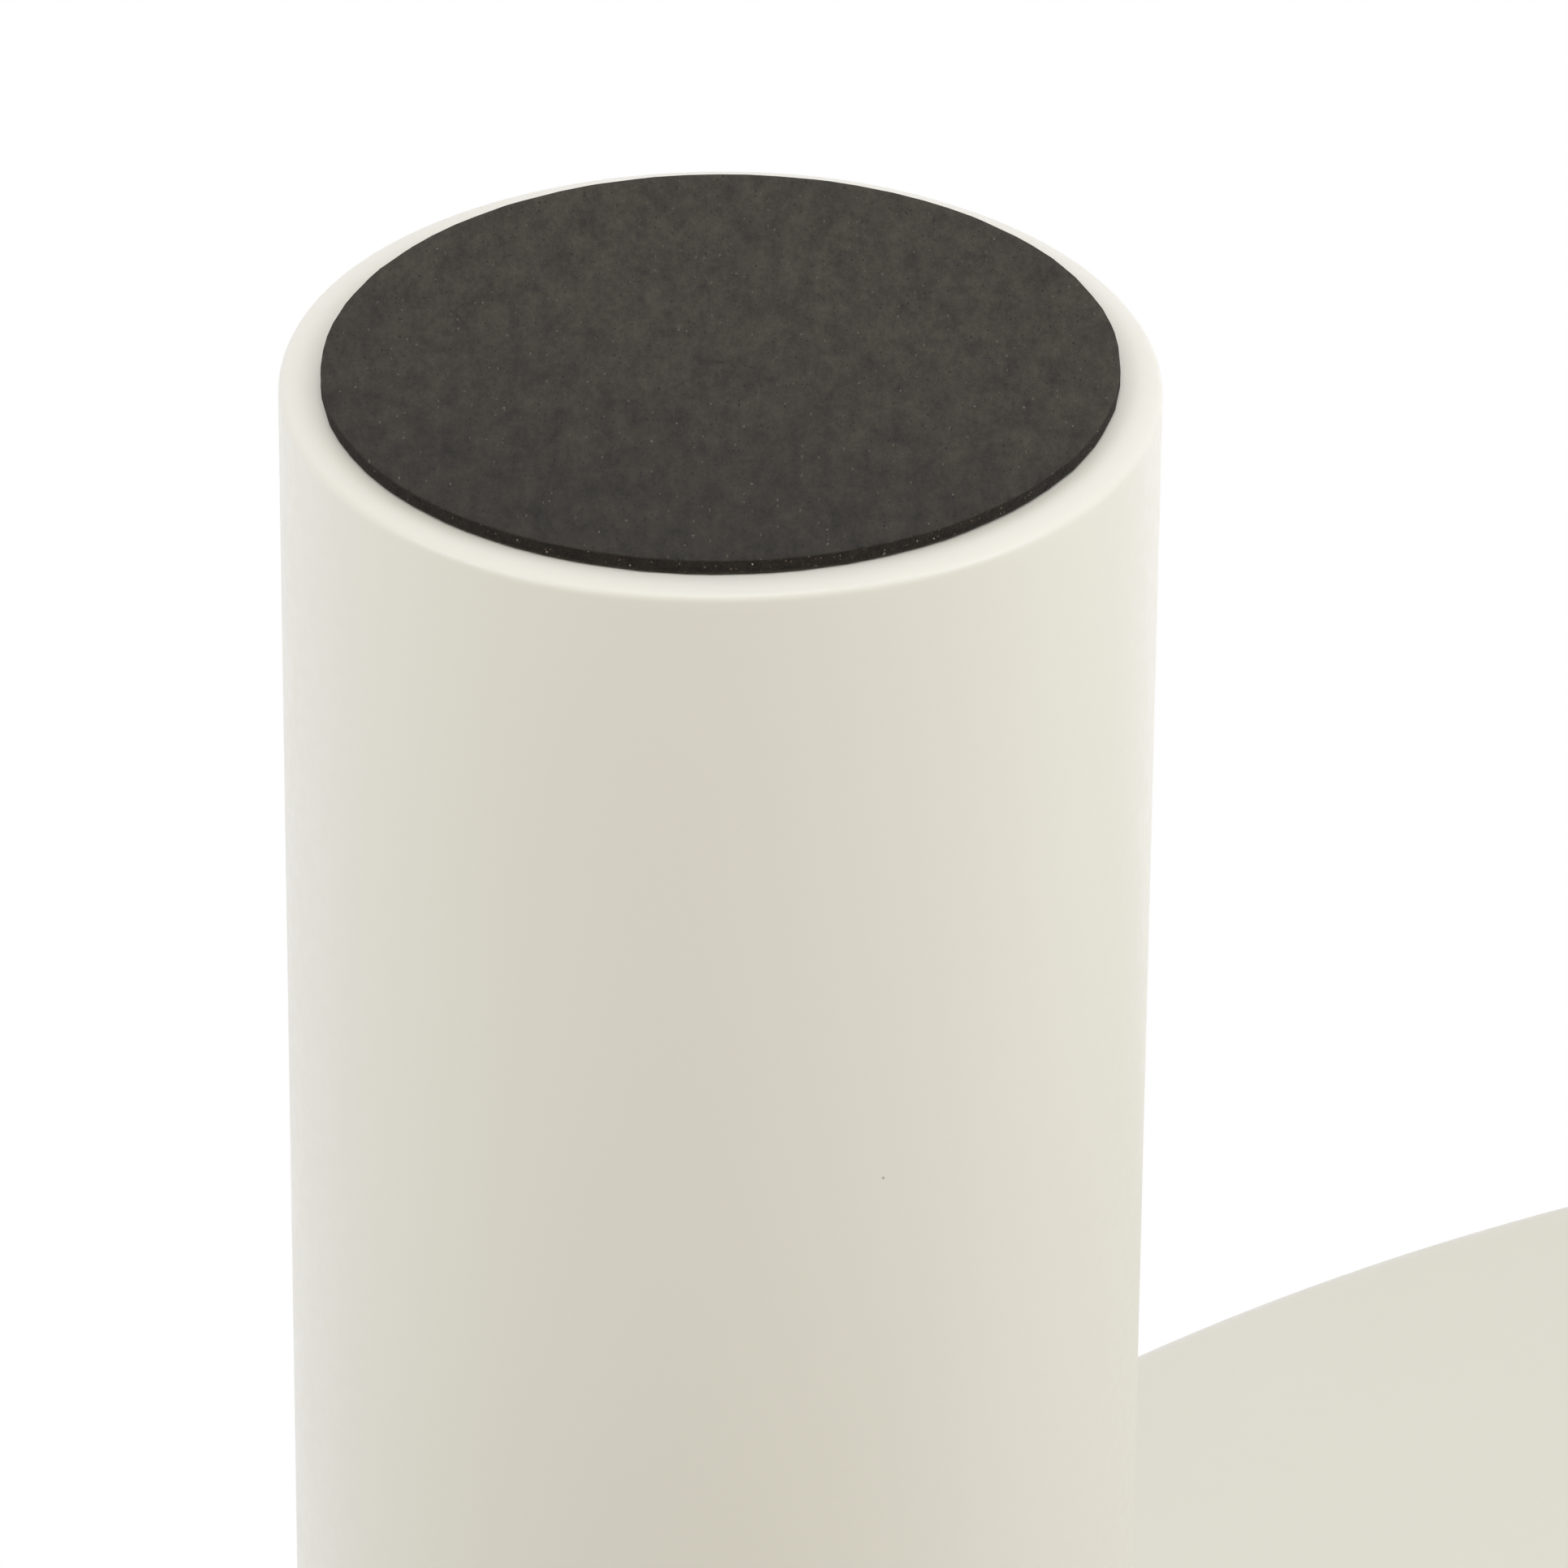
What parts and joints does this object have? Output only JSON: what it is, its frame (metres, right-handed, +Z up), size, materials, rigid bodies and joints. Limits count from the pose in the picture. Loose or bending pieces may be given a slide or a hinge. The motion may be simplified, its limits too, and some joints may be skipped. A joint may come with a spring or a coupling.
{
  "type": "round coffee table",
  "caption": "Low round coffee table: a slab top with a soft rim on thick cylindrical screw-on legs, each with a thin black foam pad glued over its foot.",
  "frame": {"origin": "on the floor, straight under the middle of the round top", "axes": "+Z up through the middle of the top, +Y towards the back leg, +X to the right with the two front legs on the -Y side"},
  "size_m": [0.8, 0.8, 0.4],
  "materials": {
    "lacquer": "satin cream lacquer, sprayed over smooth fibreboard",
    "board": "raw medium-density fibreboard, cut edges",
    "foam": "matt black closed-cell foam sheet, 2 mm, knife-cut edge",
    "zinc": "die-cast zinc alloy, dull",
    "steel": "zinc-plated steel, bright"
  },
  "bodies": {
    "root": {"table_top": "lacquer", "leg_tube_back": "lacquer", "foot_plug_back": "board", "head_plug_back": "board", "foot_pad_back": "foam", "leg_insert_back": "zinc", "top_insert_back": "zinc", "leg_stud_back": "steel", "leg_tube_front_left": "lacquer", "foot_plug_front_left": "board", "head_plug_front_left": "board", "foot_pad_front_left": "foam", "leg_insert_front_left": "zinc", "top_insert_front_left": "zinc", "leg_stud_front_left": "steel", "leg_tube_front_right": "lacquer", "foot_plug_front_right": "board", "head_plug_front_right": "board", "foot_pad_front_right": "foam", "leg_insert_front_right": "zinc", "top_insert_front_right": "zinc", "leg_stud_front_right": "steel"}
  },
  "joints": []
}
